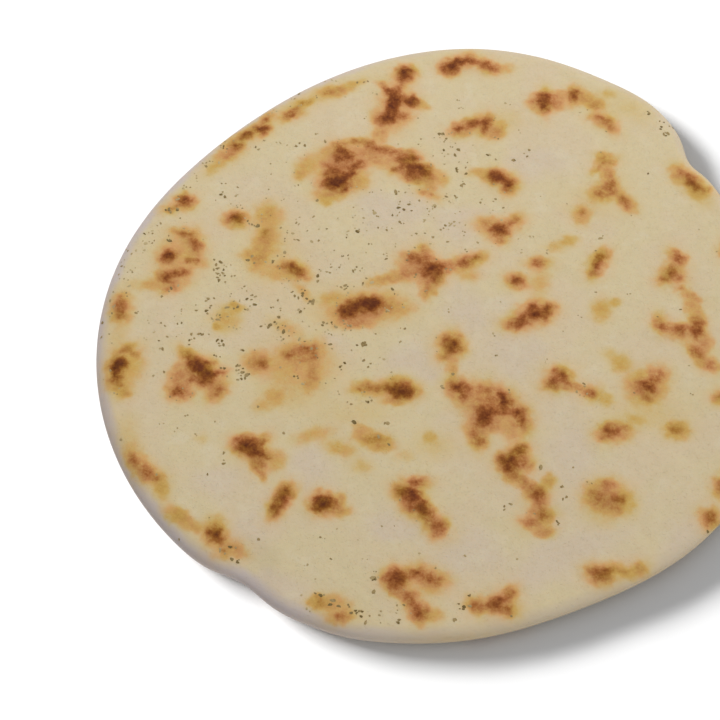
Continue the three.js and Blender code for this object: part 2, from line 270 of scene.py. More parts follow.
    (-74.6, -84.6, 3.6, 3, 0, 0.88), (-72.2, -89, 2.2, 1.6, 0, 0.6), (-69.4, -87.2, 2, 1.4, 0, 0.5),
    # right edge
    (104, 30, 5, 3.6, 60, 0.8), (102.5, 26, 3.4, 3, 0, 0.7), (107, -12, 4.6, 4, -20, 0.82),
    (104.5, -16, 3.6, 2.8, 0, 0.7), (100, -45, 6, 4, -70, 0.85), (103, -50, 3.4, 2.8, 0, 0.65),
    (108, 4, 3, 2.4, 0, 0.6), (96, -60, 3.2, 2.6, 0, 0.6),
]

# Golden smears, where the dough only coloured: centre, length, width, turn, level and tint,
# which runs from -1 for mustard to 1 for peach.
TOP_SMEARS = [
    # broad faint ones
    (-48, 95, 34, 10, 28, 0.14, -0.5), (-60, 26, 22, 30, 0, 0.14, -0.4), (68, -38, 30, 18, 0, 0.13, -0.9),
    (-78, 69, 26, 10, 42, 0.14, -0.4), (-34, 6, 34, 18, 10, 0.13, -0.3),
    (-112, -12, 34, 9, 85, 0.14, -0.3), (73, 91, 18, 12, -30, 0.13, -0.9),
    (58, 50, 24, 18, 30, 0.12, -0.6), (26, 86, 16, 12, 0, 0.12, -0.6),
    (-103, -54, 30, 9, -60, 0.14, -0.4), (-30, -38, 30, 12, 5, 0.12, -0.8),
    (-52, -32, 26, 13, 0, 0.13, -0.5), (-4, -50, 18, 12, 0, 0.13, -0.8), (95, 50, 12, 8, -50, 0.14, -0.7),
    (60, 94, 14, 9, -30, 0.16, -0.3),
    # along the far edge
    (26.5, 110.5, 8, 5, 0, 0.22, 0.2), (-21, 79.5, 9, 6, 80, 0.34, 0.1), (-16, 92, 26, 14, 80, 0.28, 0.7),
    (-6.5, 93, 8, 5, -30, 0.3, 0), (-54.5, 88, 12, 4.6, 35, 0.22, 0.3), (-82, 64, 9, 5, 40, 0.22, -0.8),
    (-78, 69.5, 8, 5, 35, 0.36, 0.8), (-49, 93.6, 6, 3, 20, 0.36, -0.9),
    (-38, 99.4, 13, 5, 15, 0.44, 0.1), (-31, 103, 12, 4, 22, 0.24, -0.5),
    (22, 79.5, 7, 5.5, 20, 0.42, 0.4), (23.5, 83, 6, 6, 0, 0.26, -0.3), (46, 97, 8, 5, 0, 0.36, 0.4),
    (56, 96, 9, 6, -30, 0.36, 0.1), (59.5, 92.6, 7, 5, 0, 0.44, -0.2), (65, 98, 7, 5, 0, 0.2, -0.9),
    (93, 51, 8, 4, -20, 0.25, -0.7), (87.5, 59, 7, 6, -40, 0.32, 0), (62, 85, 9, 6, -30, 0.34, 0.4),
    # upper middle
    (-35, 65.5, 17, 17, 0, 0.42, 0.6), (-48, 64.5, 12, 8, 60, 0.27, -0.3),
    (-50.5, 60.5, 6, 5, 0, 0.3, -0.2), (-40, 51.5, 12, 5, 0, 0.34, 0.1), (-41, 48.5, 6, 4, 0, 0.25, -0.9),
    (-29, 57, 8, 8, 0, 0.28, -0.2), (-35, 64.5, 11, 6, 10, 0.56, 0.9), (-3.5, 55.4, 8, 5, -60, 0.32, 0.3),
    (0.5, 58.5, 7, 6, -50, 0.32, -0.2), (-16, 66, 8, 6, -40, 0.3, 0.5), (-24, 69, 15, 7, -28, 0.42, 0.5),
    (14.5, 61.8, 9, 4, 5, 0.26, -0.3), (61.5, 67.6, 7, 6, 0, 0.34, -0.3), (62, 60.4, 9, 5, 90, 0.4, 0.3),
    (60, 53, 11, 7, 15, 0.42, 0.3), (69, 47.5, 8, 5, -60, 0.3, 0.3), (51, 42, 8, 6, 70, 0.3, 0.3),
    # left
    (-61.5, 42.5, 11, 10, 90, 0.34, -0.1), (-62.4, 32, 14, 8.6, 78, 0.38, 0),
    (-64.5, 24, 10, 7, 80, 0.38, -0.1), (-68.6, 25.6, 6, 5, 0, 0.3, -0.2),
    (-62.6, 35, 4, 3, 60, 0.5, -0.5), (-57, 18, 15, 7, 0, 0.26, 0.1), (-92, 26, 20, 16, 70, 0.28, 0.2),
    (-94.6, 13.5, 14, 7, 10, 0.3, 0.5), (-105, 12.5, 14, 6, 5, 0.16, -0.5),
    (-102, 12.5, 6, 4, 0, 0.3, 0.3), (-109.5, 2, 10, 6, 85, 0.2, 0.3),
    (-107, -22, 16, 10, 80, 0.24, -0.4), (-90, -25, 13, 7, 75, 0.46, 0.6),
    (-88.5, -14.5, 8, 4, -35, 0.22, -0.8), (-77, -29, 8, 6, 40, 0.42, 0.2),
    (-64, -18.5, 9, 8, 0, 0.42, 0.2), (-50, -20, 26, 20, 0, 0.26, 0), (-48, -15, 13, 8, 10, 0.5, 0.3),
    (-45, -23.5, 11, 5, 80, 0.46, 0.2), (-57.5, -32, 8, 7, 0, 0.3, 0), (-61.6, -35.4, 6, 5, 0, 0.24, 0),
    (-71.8, 3.6, 6, 4, -20, 0.32, -0.9), (-75, -1, 11, 11, 0, 0.24, -0.6),
    (-78, -4.5, 4, 3, 0, 0.36, -0.9), (-54, -5, 14, 7, -30, 0.22, 0), (-48.5, 10, 11, 4, -45, 0.24, 0),
    (-44, -46.5, 14, 6, 15, 0.24, 0), (-35, -51.5, 12, 6, -20, 0.26, -0.4),
    (-28, -58, 8, 6, 0, 0.18, -0.6), (-14, -54, 8, 5, 0, 0.16, 0), (-5, -47.5, 5, 5, 0, 0.26, -0.7),
    (-24.6, -47.8, 11, 4.8, -6, 0.52, -0.7), (-21.5, -51, 9, 4, 5, 0.36, -0.2),
    (-28, -44.5, 6, 4, -30, 0.3, 0.4), (-81.5, -48, 5, 4, 0, 0.14, -0.9),
    (-105, -46, 18, 7, 100, 0.12, -0.3),
    # middle
    (-8, 20, 14, 12, -30, 0.4, 0.9), (-12, 17.5, 9, 6, 0, 0.42, 0.7), (-5, 12, 9, 5, 85, 0.46, 0.3),
    (-19, 15.5, 14, 5, 15, 0.36, -0.1), (-26, 3, 26, 12, 8, 0.4, 0.4), (-30, -2.4, 11, 5, 5, 0.48, 0.7),
    (-38.5, 7.5, 9, 6, 20, 0.26, -0.2), (-14, 3, 10, 6, -10, 0.22, -0.3), (34.5, 14, 12, 8, 80, 0.22, 0),
    (31, 0, 14, 9, 25, 0.4, 0.7), (45.8, 31.4, 8, 5, 10, 0.26, -0.7), (41, 29, 8, 5, 0, 0.2, -0.3),
    (55.4, 2.6, 10, 7, 80, 0.26, -0.8), (60.4, 6, 5, 4, 0, 0.24, -0.6), (3, -21, 8, 4, 85, 0.36, 0.1),
    (6, -13, 6, 7, 0, 0.28, -0.3), (10, 16.5, 9, 5, 0, 0.24, -0.2), (20, 38, 16, 8, 0, 0.3, 0.5),
    (87, 4.5, 9, 5.5, 90, 0.3, 0.1), (90, -11, 8, 6, 80, 0.4, 0.4), (60.6, -19, 8, 8, 0, 0.27, -0.9),
    (57, -15, 6, 5, 0, 0.16, -0.9), (-24.5, -28.4, 12, 5, 0, 0.42, -0.3),
    (-15, -24.8, 8, 3, 0, 0.2, -0.9), (-17, -33.6, 9, 3, 0, 0.4, 0.3), (15, -34, 20, 13, -20, 0.46, 0.5),
    (14, -43, 12, 6, 5, 0.48, 0.7), (23, -44, 10, 8, 60, 0.36, 0.2), (54.5, -33, 6, 5, -30, 0.24, -0.8),
    (69, -27.5, 14, 11, 45, 0.44, 0.5),
    # near side
    (31.4, -81, 7, 4, 0, 0.42, 0.2), (33.6, -63.5, 5, 5, 0, 0.34, -0.3),
    (57.5, -45.6, 10, 7, 0, 0.34, 0.5), (64, -40.5, 8, 4, 0, 0.2, -0.7),
    (77.5, -44.4, 8, 6, 0, 0.34, -0.4), (52, -69.5, 14, 11, 0, 0.42, 0.1),
    (50.4, -77.5, 10, 7, 10, 0.12, -0.5), (59.5, -72, 5, 9, 0, 0.2, -0.9),
    (56, -96, 11, 4, 0, 0.36, -0.6), (-5.4, -110.6, 7, 5, -10, 0.28, 0),
    (-11, -111.4, 6, 3, -50, 0.5, 0.5), (-6, -98.5, 11, 9, -20, 0.34, 0.3),
    (-41.7, -106.4, 6, 5, -15, 0.46, -0.6), (-37, -107, 12, 7, -10, 0.3, -0.2),
    (-34.5, -111, 7, 4, 0, 0.4, 0.3), (-57, -56, 8, 7, -50, 0.28, -0.1),
    (-36, -71.4, 7, 5, 90, 0.38, 0.4), (-34.5, -74.6, 7, 4, 0, 0.36, -0.3),
    (-93.6, -66.5, 9, 5, -65, 0.32, -0.7), (-87, -77, 11, 5, -35, 0.38, -0.5),
    (-75, -77.5, 8, 4, 0, 0.18, -0.7), (-81.6, -80.6, 6, 4, 0, 0.3, -0.3),
    # The last, long and faint one along the near rim's lower edge darkens it: partly the underside's
    # toasted edge, partly painted shade on the near wall.
    (-69, -88, 10, 5, -25, 0.3, 0.1), (-101, -58, 12, 6, -48, 0.34, 0.5), (4, -118.5, 36, 5, 4, 0.1, 0.2),
]

# Streaks that join neighbouring spots: from, to, width, level and tint.
TOP_STREAKS = [
    # along the far edge
    (3.5, 110.5, 13, 113.5, 4.6, 0.6, 0.7), (13, 113.5, 22.5, 110.2, 3.8, 0.56, 0.7),
    (-15, 97, -12.6, 104.5, 4, 0.6, 0.7), (-19, 87, -12.5, 88, 4, 0.5, 0.7),
    (38, 94, 44.4, 93.8, 7, 0.5, 0.6), (8, 82, 18, 84.5, 5, 0.5, 0.5),
    # upper middle
    (-42, 70, -38, 73.5, 3.2, 0.16, 0), (-38, 73.5, -31, 75.6, 3, 0.42, 0.2),
    (-31, 75.6, -24, 75.2, 3, 0.5, -0.1), (-25, 72.8, -12, 69.8, 3.6, 0.66, 0.6),
    # left and middle
    (-97, 15.5, -90, 18.4, 4, 0.5, 0.4), (1, 20.4, 7, 21.6, 4, 0.5, 0.7),
    (76, -5, 88, -6, 4.4, 0.46, 0.6), (85.5, 10, 89.5, 2, 3.6, 0.24, 0.2),
    (40.5, -27, 49, -30.4, 3.4, 0.42, 0.5),
    # near side
    (21, -61.5, 29, -66.5, 4.4, 0.5, 0.1), (30, -69, 30.6, -75, 4.6, 0.5, 0.3),
    (-18, -102, -12.6, -105, 3.4, 0.5, 0.6), (-13, -96.5, -4.5, -98.6, 4.4, 0.5, 0.4),
    (8, -108, 15, -107.5, 4, 0.46, 0.4), (-62, -55, -60.2, -63, 3, 0.44, 0.2),
]

TOP_SEED = 11
UNDERSIDE_SEED = 21

SPOT_STRENGTH = 0.95
SPOT_GROWTH = 0.3      # mm that a spot's half level lies outside its oval
SPOT_BLUR = 1.0        # mm
SMALL_SPOT = 1.5       # mm: a spot of less half size than this is sharper by as much
HALO_LEVEL = 0.28
HALO_REACH = 1.2       # mm outside the spot's oval
HALO_BLUR = 2.2        # mm
FULL_HALO = 0.6        # spots of at least this level have the whole halo
SMEAR_STRENGTH = 0.76
SMEAR_FALL = 2.1       # power of the distance with which a smear fades
MERGING = 3            # power with which the levels of neighbours add up

MEAN_TINT = 0.15
TINT_SPREAD = 0.55
SMEAR_TINTING = 0.7    # share of the way that a smear takes the tint to its own
BROAD_PUSH = 0.4       # mm that places are pushed about by broad ripples
FINE_PUSH = 0.5        # mm, by finer ones
PALE_PUSH = 3          # mm, for the pale patches

# Patches where flour kept the dough pale and pinkish: centre, length, width and turn.
PALE_PATCHES = [
    (-37, -15, 16, 12, 0), (38, -90, 44, 16, 20), (41, -52, 18, 26, 10), (-9, -19, 20, 12, 0),
    (-55, -102, 24, 10, -32), (76, -86, 20, 14, 40), (-16, -81, 16, 14, 0), (6, -90, 24, 16, 0),
    (-46, -60, 16, 18, 0), (10, 2, 20, 16, 0), (-16, 46, 30, 16, 0), (-62, -78, 18, 14, 0),
    (8, 40, 20, 14, 0), (34, 66, 20, 14, 0), (-76, -64, 16, 12, 0), (24, -14, 16, 14, 0),
    (-60, -97, 7, 6, 0),
]


def wandering(x, y, seed):
    """Places pushed about by up to a millimetre or so, which makes ovals into ragged spots."""
    def push(first_seed):
        broad = BROAD_PUSH * ripples(x, y, size=8, seed=first_seed)
        return broad + FINE_PUSH * ripples(x, y, size=3.2, seed=first_seed + 1)
    return x + push(seed), y + push(seed + 2)


def line_distance(x, y, line):
    """Distance from the nearest point of a straight line, in shares of its half width."""
    from_x, from_y, to_x, to_y, width = line
    run_x, run_y = to_x - from_x, to_y - from_y
    share = np.clip(((x - from_x) * run_x + (y - from_y) * run_y) / (run_x ** 2 + run_y ** 2), 0, 1)
    return np.hypot(x - from_x - share * run_x, y - from_y - share * run_y) / (width / 2)


def faded(way_out, blur):
    """1 inside, a half at the edge and 0 outside: 1 / (1 + exp(way out / blur)), as a tanh."""
    return 0.5 * (1 - np.tanh(way_out / (2 * blur)))


def paleness(x, y):
    """How floury the dough is: the highest of the patches' 2^-(distance^2)."""
    x, y = (x + PALE_PUSH * ripples(x, y, size=22, seed=51),
            y + PALE_PUSH * ripples(x, y, size=22, seed=52))
    cover = np.zeros_like(x)
    for patch in PALE_PATCHES:
        cover = np.maximum(cover, 2.0 ** -(oval_distance(x, y, patch) ** 2))
    return cover


def browning(x, y, spots, smears, streaks, seed):
    """Level and tint. A spot and its halo fade out past its edge, over a short way and a long
    one, and a smear or a streak falls off as 2^-(distance^2.1). The levels' cubes add up and
    the cube root is taken, so that neighbours merge near the highest of them."""
    x, y = wandering(x, y, seed)
    cubes = np.zeros_like(x)
    for *oval, depth in spots:
        half_size = math.sqrt(oval[2] * oval[3]) / 2
        way_out = (oval_distance(x, y, oval) - 1) * half_size
        spot_blur = SPOT_BLUR * min(half_size / SMALL_SPOT, 1)
        halo_level = HALO_LEVEL * min(depth / FULL_HALO, 1)
        cubes += (SPOT_STRENGTH * depth * faded(way_out - SPOT_GROWTH, spot_blur)) ** MERGING
        cubes += (halo_level * faded(way_out - HALO_REACH, HALO_BLUR)) ** MERGING
    tint = TINT_SPREAD * ripples(x, y, size=9, seed=seed + 4) + MEAN_TINT
    soft_marks = [(oval_distance(x, y, oval), depth, hue) for *oval, depth, hue in smears]
    soft_marks += [(line_distance(x, y, line), depth, hue) for *line, depth, hue in streaks]
    for distance, depth, hue in soft_marks:
        shape = 2.0 ** -(distance ** SMEAR_FALL)
        cubes += (SMEAR_STRENGTH * depth * shape) ** MERGING
        tint += SMEAR_TINTING * (hue - tint) * shape
    return cubes ** (1 / MERGING), tint


def top_browning(x, y):
    """Level and tint of the side that the lists describe."""
    return browning(x, y, TOP_SPOTS, TOP_SMEARS, TOP_STREAKS, TOP_SEED)


# The side that isn't seen. Widths are shares of the length.
UNDERSIDE_CLUSTERS = 60
CLUSTERED_OUT_TO = 0.93    # of the disc's radius
CLUSTER_WANDER = 4         # mm that a cluster is pushed off its even place
SPOT_WANDER = 3.8          # mm that a spot lies from its cluster's middle
SPOTS_IN_CLUSTER = (1, 6)  # at least, and fewer than
UNSEEN_SMEAR = {"length": (9, 20), "width": (0.45, 0.8), "level": (0.25, 0.5), "tint": (-0.6, 0.8)}
UNSEEN_SPOT = {"length": (2.6, 8), "width": (0.55, 0.9), "level": (0.5, 1)}


def scattered_marks(seed):
    """Seeded spots and smears for the side that isn't seen: sunflower spacing fills the disc
    evenly, and each cluster is pushed off it by some millimetres, has a golden smear, and
    holds one to five spots."""
    draw = np.random.default_rng(seed)
    golden_angle = math.pi * (3 - math.sqrt(5))
    spots, smears = [], []
    for k in range(UNDERSIDE_CLUSTERS):
        radius = CLUSTERED_OUT_TO * DISC_RADIUS * math.sqrt((k + 0.5) / UNDERSIDE_CLUSTERS)
        middle_x = radius * math.cos(k * golden_angle) + draw.normal(0, CLUSTER_WANDER)
        middle_y = radius * math.sin(k * golden_angle) + draw.normal(0, CLUSTER_WANDER)
        length = draw.uniform(*UNSEEN_SMEAR["length"])
        width = length * draw.uniform(*UNSEEN_SMEAR["width"])
        smears.append((middle_x, middle_y, length, width, draw.uniform(0, 180),
                       draw.uniform(*UNSEEN_SMEAR["level"]), draw.uniform(*UNSEEN_SMEAR["tint"])))
        for _ in range(draw.integers(*SPOTS_IN_CLUSTER)):
            length = draw.uniform(*UNSEEN_SPOT["length"])
            spot_x = middle_x + draw.normal(0, SPOT_WANDER)
            spot_y = middle_y + draw.normal(0, SPOT_WANDER)
            width = length * draw.uniform(*UNSEEN_SPOT["width"])
            spots.append((spot_x, spot_y, length, width, draw.uniform(0, 180),
                          draw.uniform(*UNSEEN_SPOT["level"])))
    return spots, smears


# ==== The baked surface ===================================================================
# The dough's closed mesh: a fine grid over the top, rounded rim, coarser grid underneath. On
# top the browned spots stand up slightly and are crinkled. Underneath, the dough sits a little
# off the table between the browned places, which are the ones that touched the griddle.

TOP_CELLS = 264          # along each side of the square grid that covers the top
UNDERSIDE_CELLS = 132    # half as many, so that every second point of the rim meets one
RIM_STEPS = 8

SPOT_RISE = 0.22         # mm at level 1
CRINKLE = 0.10           # mm
DOUGH_UNEVENNESS = 0.07  # mm
FINER_SHARE = 0.4        # of that unevenness, for its finer ripples
UNDERSIDE_HOLLOW = 0.35  # mm
HOLLOW_VARIETY = 0.3     # share of the hollow's depth that varies

# Levels from which and up to which each grows.
RISING = (0.3, 1)
CRINKLING = (0.35, 0.9)
TOUCHING = (0.15, 0.7)   # the griddle or the table, on the underside

# Leans from which and up to which each side's browning reaches round the rim.
TOP_REACH = (-0.4, 0.3)
UNDERSIDE_REACH = (0.3, 0.9)


def disc_grid(cells):
    """A square grid laid over the disc, whose square rings become circles: a point's share of
    the radius is the larger of |u| and |v|, and its angle runs evenly along its ring."""
    line = np.linspace(-1, 1, cells + 1)
    u, v = np.meshgrid(line, line)
    share = np.maximum(np.abs(u), np.abs(v))
    sideways = np.abs(u) >= np.abs(v)
    longer = np.where(sideways, u, v)
    ratio = np.where(sideways, v, u) / np.where(longer == 0, 1, longer)
    angle = np.where(sideways, 45 * ratio, 90 - 45 * ratio) + np.where(longer < 0, 180, 0)
    return angle.ravel(), share.ravel()


def grid_edge(cells):
    """Numbers of the grid's outer points, anticlockwise from the corner where u = v = -1."""
    numbers = np.arange((cells + 1) ** 2).reshape(cells + 1, cells + 1)
    return np.concatenate([numbers[0, :-1], numbers[:-1, -1], numbers[-1, :0:-1], numbers[:0:-1, 0]])


def grid_triangles(cells):
    """Two triangles for each cell of the grid, facing up. Each cell is split along the
    diagonal that points to the grid's middle, so that no corner of a ring is cut off flat."""
    numbers = np.arange((cells + 1) ** 2).reshape(cells + 1, cells + 1)
    a, b = numbers[:-1, :-1].ravel(), numbers[:-1, 1:].ravel()
    c, d = numbers[1:, 1:].ravel(), numbers[1:, :-1].ravel()
    middle = np.arange(cells) + 0.5 - cells / 2
    inwards = (middle[:, None] * middle[None, :] > 0).ravel()[:, None]
    first = np.where(inwards, np.stack([a, b, c], 1), np.stack([a, b, d], 1))
    second = np.where(inwards, np.stack([a, c, d], 1), np.stack([b, c, d], 1))
    return np.concatenate([first, second])


def band_triangles(upper, lower):
    """Triangles between two rings with as many points each, facing outwards."""
    next_upper, next_lower = np.roll(upper, -1), np.roll(lower, -1)
    return np.concatenate([np.stack([upper, lower, next_lower], 1),
                           np.stack([upper, next_lower, next_upper], 1)])


def halving_triangles(fine, coarse):
    """Triangles from a ring down to one with half as many points: three for each pair."""
    even, odd, after = fine[0::2], fine[1::2], np.roll(fine, -2)[0::2]
    next_coarse = np.roll(coarse, -1)
    return np.concatenate([np.stack([even, coarse, odd], 1), np.stack([odd, coarse, next_coarse], 1),
                           np.stack([odd, next_coarse, after], 1)])


def surface_height(x, y, lean, level):
    """Height over the table. Lean is 1 on the top, -1 underneath, and the sine of the turn on
    the rim: underside + thickness / 2 * (1 + lean), with the relief of each side faded out by
    its share of the lean."""
    angle = bearing(x, y)
    share = np.minimum(np.hypot(x, y) / shoulder_radius(angle), 1)
    height = underside_height(angle, share) + thickness(angle, share) / 2 * (1 + lean)
    uneven = DOUGH_UNEVENNESS * ripples(x, y, size=11, seed=31)
    uneven += FINER_SHARE * DOUGH_UNEVENNESS * ripples(x, y, size=4.5, seed=32)
    crinkled = CRINKLE * ripples(x, y, size=2.6, seed=33) * smooth_step(level, *CRINKLING)
    top = rolled_relief(x, y) + uneven + SPOT_RISE * smooth_step(level, *RISING) + crinkled
    varied = 1 - HOLLOW_VARIETY + HOLLOW_VARIETY * ripples(x, y, size=14, seed=34)
    hollow = np.maximum(UNDERSIDE_HOLLOW * (1 - smooth_step(level, *TOUCHING)) * varied, 0)
    return height + top * np.maximum(lean, 0) + hollow * np.maximum(-lean, 0)


top_angle, top_share = disc_grid(TOP_CELLS)
under_angle, under_share = disc_grid(UNDERSIDE_CELLS)
top_edge = grid_edge(TOP_CELLS)
rim_turn = np.radians(90 - 180 * np.arange(1, RIM_STEPS) / RIM_STEPS)
rim_angle = np.tile(top_angle[top_edge], RIM_STEPS - 1)
rim_turns = np.repeat(rim_turn, len(top_edge))

all_angle = np.concatenate([top_angle, rim_angle, under_angle])
all_share = np.concatenate([top_share, np.ones_like(rim_angle), under_share])
all_outwards = np.concatenate([np.zeros_like(top_angle), np.cos(rim_turns), np.zeros_like(under_angle)])
all_lean = np.concatenate([np.ones_like(top_angle), np.sin(rim_turns), -np.ones_like(under_angle)])
all_radius = all_share * shoulder_radius(all_angle) + RIM_ROUNDING * all_outwards
dough_x, dough_y = around_middle(all_angle, all_radius)

top_level, top_tint = top_browning(dough_x, dough_y)
under_level, under_tint = browning(dough_x, dough_y, *scattered_marks(seed=5), [], UNDERSIDE_SEED)
topside = smooth_step(all_lean, *TOP_REACH)
dough_level = top_level * topside + under_level * smooth_step(-all_lean, *UNDERSIDE_REACH)
dough_tint = top_tint * topside + under_tint * (1 - topside)
dough_z = surface_height(dough_x, dough_y, all_lean, dough_level)

ring_starts = len(top_angle) + len(top_edge) * np.arange(RIM_STEPS - 1)
rings = [top_edge] + [start + np.arange(len(top_edge)) for start in ring_starts]
under_start = len(top_angle) + len(rim_angle)
dough_triangles = [grid_triangles(TOP_CELLS)]
dough_triangles += [band_triangles(upper, lower) for upper, lower in zip(rings, rings[1:])]
dough_triangles.append(halving_triangles(rings[-1], under_start + grid_edge(UNDERSIDE_CELLS)))
dough_triangles.append(under_start + grid_triangles(UNDERSIDE_CELLS)[:, ::-1])

# The disc's own middle goes to the middle of the frame's disc, on the table.
box_low, box_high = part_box("piadina")
SHIFT_X = (box_low.x + box_high.x) / 2 / MM - (dough_x.min() + dough_x.max()) / 2
SHIFT_Y = (box_low.y + box_high.y) / 2 / MM - (dough_y.min() + dough_y.max()) / 2


def placed(name, data):
    """A new object in the scene, made of this mesh, lamp or camera."""
    thing = bpy.data.objects.new(name, data)
    bpy.context.scene.collection.objects.link(thing)
    return thing


def closed_piece(name, x, y, z, triangles):
    """A smooth-shaded mesh object from arrays of millimetres and triangles."""
    points = np.stack([x + SHIFT_X, y + SHIFT_Y, z], 1) * MM
    mesh = bpy.data.meshes.new(name)
    mesh.from_pydata(points, [], triangles)
    mesh.polygons.foreach_set("use_smooth", np.ones(len(mesh.polygons), dtype=bool))
    mesh.update()
    return placed(name, mesh)


def store(piece, name, values):
    """Keeps one number for each of the mesh's points, for the material to read."""
    layer = piece.data.attributes.new(name, "FLOAT", "POINT")
    layer.data.foreach_set("value", values.astype(np.float32))


dough = closed_piece("griddled_dough", dough_x, dough_y, dough_z, np.concatenate(dough_triangles))

# The rim's colour, partly a painted highlight, comes in over the first half of the rounding, along a
# wavering line.
EDGE_WAVER = 0.15        # share of the rounding
EDGE_FADE = (0.05, 0.6)  # shares of the rounding

outwards_place = (np.hypot(dough_x, dough_y) - shoulder_radius(all_angle)) / RIM_ROUNDING
edge_place = outwards_place + EDGE_WAVER * ripples(dough_x, dough_y, size=14, seed=41)
store(dough, "level", dough_level)
store(dough, "tint", dough_tint)
store(dough, "edge", smooth_step(edge_place, *EDGE_FADE))
store(dough, "pale", paleness(dough_x, dough_y) * topside)


LIGHT_ON_TOP = 1.12      # how much brighter than its own colour the lit bread looks


def paint(colour):
    """A colour as the lit bread shows it on screen, 0 to 255, turned into the linear RGBA of
    the surface under that light by the sRGB curve."""
    seen = np.array(colour) / 255
    linear = np.where(seen <= 0.04045, seen / 12.92, ((seen + 0.055) / 1.055) ** 2.4)
    return (*(linear / LIGHT_ON_TOP).tolist(), 1.0)


def add(tree, kind, inputs=(), **settings):
    """Adds a node: settings are its properties, and inputs pairs the name or number of a
    socket with a value or with another node's output."""
    node = tree.nodes.new(kind)
    for name, value in settings.items():
        setattr(node, name, value)
    for socket, value in dict(inputs).items():
        if isinstance(value, bpy.types.NodeSocket):
            tree.links.new(value, node.inputs[socket])
        else:
            node.inputs[socket].default_value = value
    return node


def sums(tree, operation, first, second):
    """The output of a Math node."""
    return add(tree, "ShaderNodeMath", {0: first, 1: second}, operation=operation).outputs[0]


def cloud(tree, places, size, detail=2.0, roughness=0.5):
    """Soft noise of 0 to 1 with patches about size millimetres across."""
    inputs = {"Vector": places, "Scale": 1 / (size * MM), "Detail": detail, "Roughness": roughness}
    return add(tree, "ShaderNodeTexNoise", inputs).outputs["Fac"]


def between(tree, value, low, high, to_low=0.0, to_high=1.0):
    """Where the value stands between low and high, eased, as a number from to_low to to_high."""
    inputs = {0: value, 1: low, 2: high, 3: to_low, 4: to_high}
    return add(tree, "ShaderNodeMapRange", inputs, interpolation_type="SMOOTHSTEP").outputs[0]


def layered(tree, cover, under, over):
    """One colour laid over another, where cover says."""
    inputs = {0: cover, 6: under, 7: over}
    return add(tree, "ShaderNodeMix", inputs, data_type="RGBA").outputs[2]


def graded(tree, value, stops):
    """A colour ramp through the stops, each a place from 0 to 1 and a colour on screen."""
    node = add(tree, "ShaderNodeValToRGB", {0: value})
    ramp = node.color_ramp
    while len(ramp.elements) < len(stops):
        ramp.elements.new(0.5)
    for element, (place, colour) in zip(ramp.elements, stops):
        element.position = place
        element.color = paint(colour)
    return node.outputs["Color"]


def stored(tree, name):
    """A number kept with the mesh's points."""
    return add(tree, "ShaderNodeAttribute", attribute_name=name).outputs["Fac"]


def bumped(tree, shader, height):
    """Lets a height in metres turn the shader's normals."""
    bump = add(tree, "ShaderNodeBump", {"Height": height, "Strength": 1.0, "Distance": 1.0})
    tree.links.new(bump.outputs["Normal"], shader.inputs["Normal"])


def new_material(name, everywhere):
    """A material with only its Principled shader and its output, with those sockets set that
    are the same everywhere on the surface."""
    material = bpy.data.materials.new(name)
    material.use_nodes = True
    shader = material.node_tree.nodes["Principled BSDF"]
    for socket, value in everywhere.items():
        shader.inputs[socket].default_value = value
    return material, material.node_tree, shader


COARSE_GRAIN = 0.28      # rate of the coarse grain over that of the fine one
GRAIN_PITS = (0.28, 0.42, -1.2, 0.0)    # fine noise from, to, and the height there


def dry_grain_group():
    """Shared by all that is dry and floury here: fine grain with sparse pits. Puts out a shade
    of 0 to 1 and a height in metres."""
    tree = bpy.data.node_groups.new("dry_grain", "ShaderNodeTree")
    sockets = {"Grain Size": "INPUT", "Relief": "INPUT", "Shade": "OUTPUT", "Height": "OUTPUT"}
    for name, in_out in sockets.items():
        tree.interface.new_socket(name, in_out=in_out, socket_type="NodeSocketFloat")
    given = tree.nodes.new("NodeGroupInput")
    result = tree.nodes.new("NodeGroupOutput")
    places = add(tree, "ShaderNodeTexCoord").outputs["Object"]
    rate = sums(tree, "DIVIDE", 1.0, given.outputs["Grain Size"])
    coarse_rate = sums(tree, "MULTIPLY", rate, COARSE_GRAIN)
    fine = add(tree, "ShaderNodeTexNoise", {
        "Vector": places, "Scale": rate, "Detail": 4.0, "Roughness": 0.6})
    coarse = add(tree, "ShaderNodeTexNoise", {"Vector": places, "Scale": coarse_rate, "Detail": 3.0})
    shade = sums(tree, "MULTIPLY", sums(tree, "ADD", fine.outputs["Fac"], coarse.outputs["Fac"]), 0.5)
    pits = between(tree, fine.outputs["Fac"], *GRAIN_PITS)
    height = sums(tree, "MULTIPLY", sums(tree, "ADD", shade, pits), given.outputs["Relief"])
    tree.links.new(shade, result.inputs["Shade"])
    tree.links.new(height, result.inputs["Height"])
    return tree


DRY_GRAIN = dry_grain_group()


def dry_grain(tree, grain_size, relief):
    """Places the shared grain: its grain size and relief are in millimetres."""
    node = add(tree, "ShaderNodeGroup", node_tree=DRY_GRAIN)
    node.inputs["Grain Size"].default_value = grain_size * MM
    node.inputs["Relief"].default_value = relief * MM
    return node.outputs["Shade"], node.outputs["Height"]


# Colours on screen.
CREAM = (206, 190, 153)
PINKISH_CREAM = (206, 188, 156)
FLOURED_CREAM = (204, 187, 162)
DRY_FLOUR = (210, 197, 168)
DARK_GRAIN = (182, 162, 122)
# The left rim's lilac-grey is partly a painted highlight, the pale sheen along the rim.
LEFT_RIM_WITH_HIGHLIGHT = (198, 186, 183)
RIGHT_RIM = (199, 183, 157)
BURNT_BLOOM = (126, 63, 27)
PEACH_BROWNING = [
    (0.08, (207, 176, 131)), (0.19, (205, 158, 106)), (0.36, (187, 130, 82)), (0.54, (163, 101, 55)),
    (0.72, (135, 74, 29)), (0.88, (110, 52, 13)), (1.0, (90, 37, 6)),
]
MUSTARD_BROWNING = [
    (0.08, (202, 178, 120)), (0.19, (196, 160, 88)), (0.36, (174, 131, 63)), (0.54, (151, 103, 38)),
    (0.72, (127, 77, 18)), (0.88, (103, 55, 8)), (1.0, (86, 39, 6)),
]

